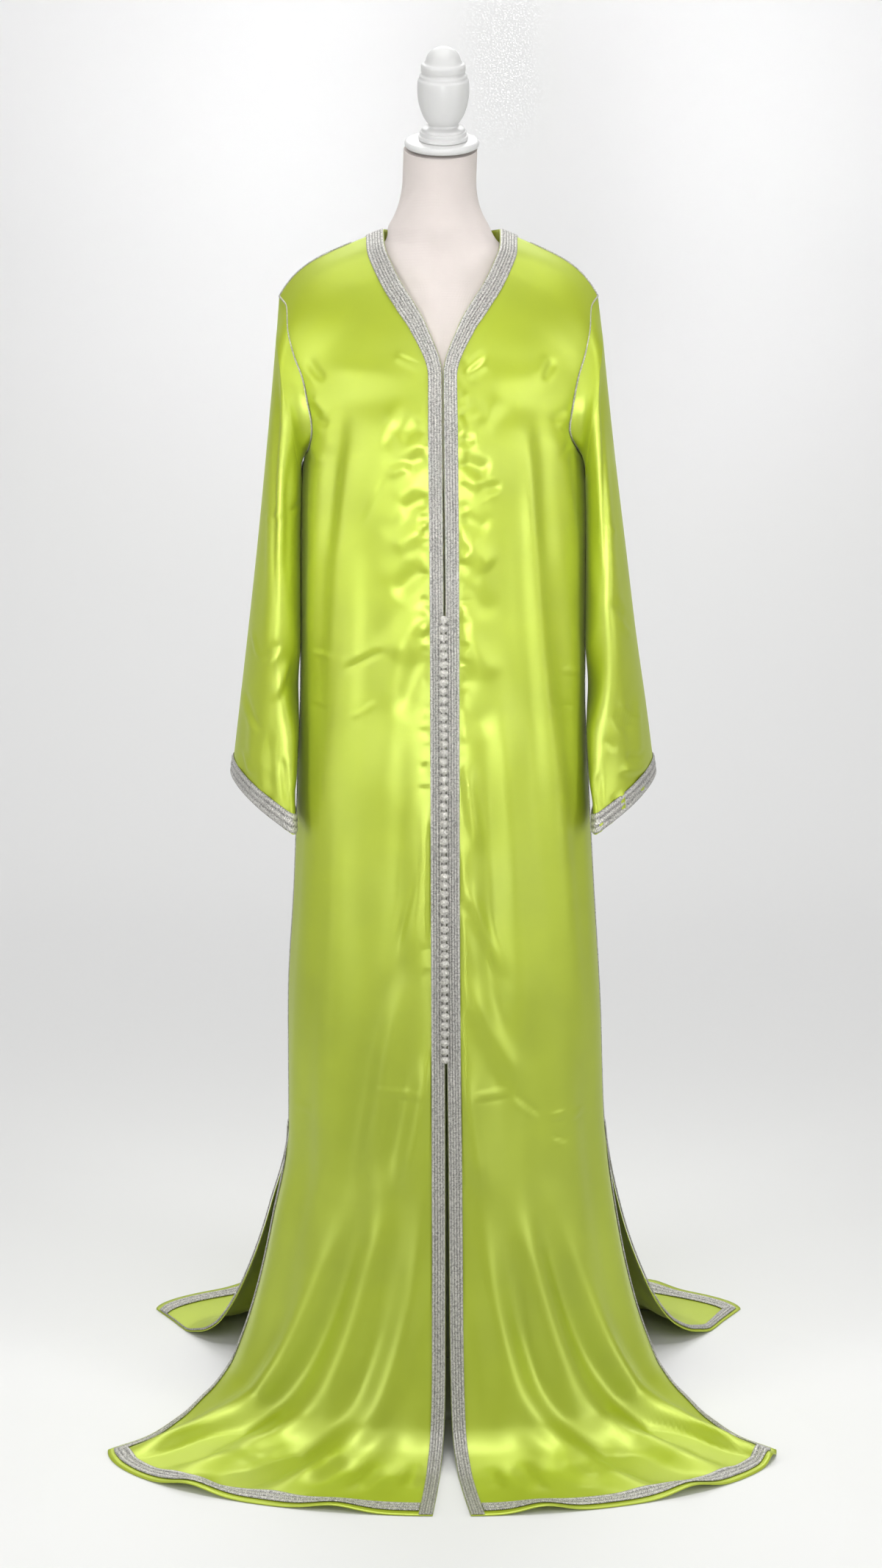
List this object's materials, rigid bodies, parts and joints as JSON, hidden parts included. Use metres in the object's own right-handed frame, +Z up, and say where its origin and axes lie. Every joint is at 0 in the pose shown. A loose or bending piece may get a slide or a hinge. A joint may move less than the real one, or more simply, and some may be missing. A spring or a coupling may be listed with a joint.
{
  "type": "moroccan kaftan on a dress form",
  "caption": "Floor-length open-front Moroccan kaftan in satin with braid edges, knot buttons, long loose sleeves and side slits, on a limbless dress form with a stand.",
  "frame": {"origin": "centre of the underside of the stand's foot, on the floor", "axes": "+Z up, -Y towards the front of the garment, +X towards the wearer's left"},
  "size_m": [0.808, 0.709, 1.6501],
  "materials": {
    "lime_satin": "satin",
    "silver_braid": "satin",
    "cream_linen": "matte",
    "white_paint": "satin"
  },
  "bodies": {
    "root": {"back": "lime_satin", "front_left": "lime_satin", "front_right": "lime_satin", "sleeve_left": "lime_satin", "sleeve_right": "lime_satin", "band_left": "silver_braid", "band_right": "silver_braid", "hem_braid_left": "silver_braid", "hem_braid_right": "silver_braid", "hem_braid_back": "silver_braid", "neck_braid_back": "silver_braid", "cuff_braid_left": "silver_braid", "cuff_braid_right": "silver_braid", "knot_buttons": "silver_braid", "dress_form": "cream_linen", "neck_cap": "white_paint", "finial": "white_paint", "stand_pole": "white_paint", "stand_foot": "white_paint"}
  },
  "joints": []
}
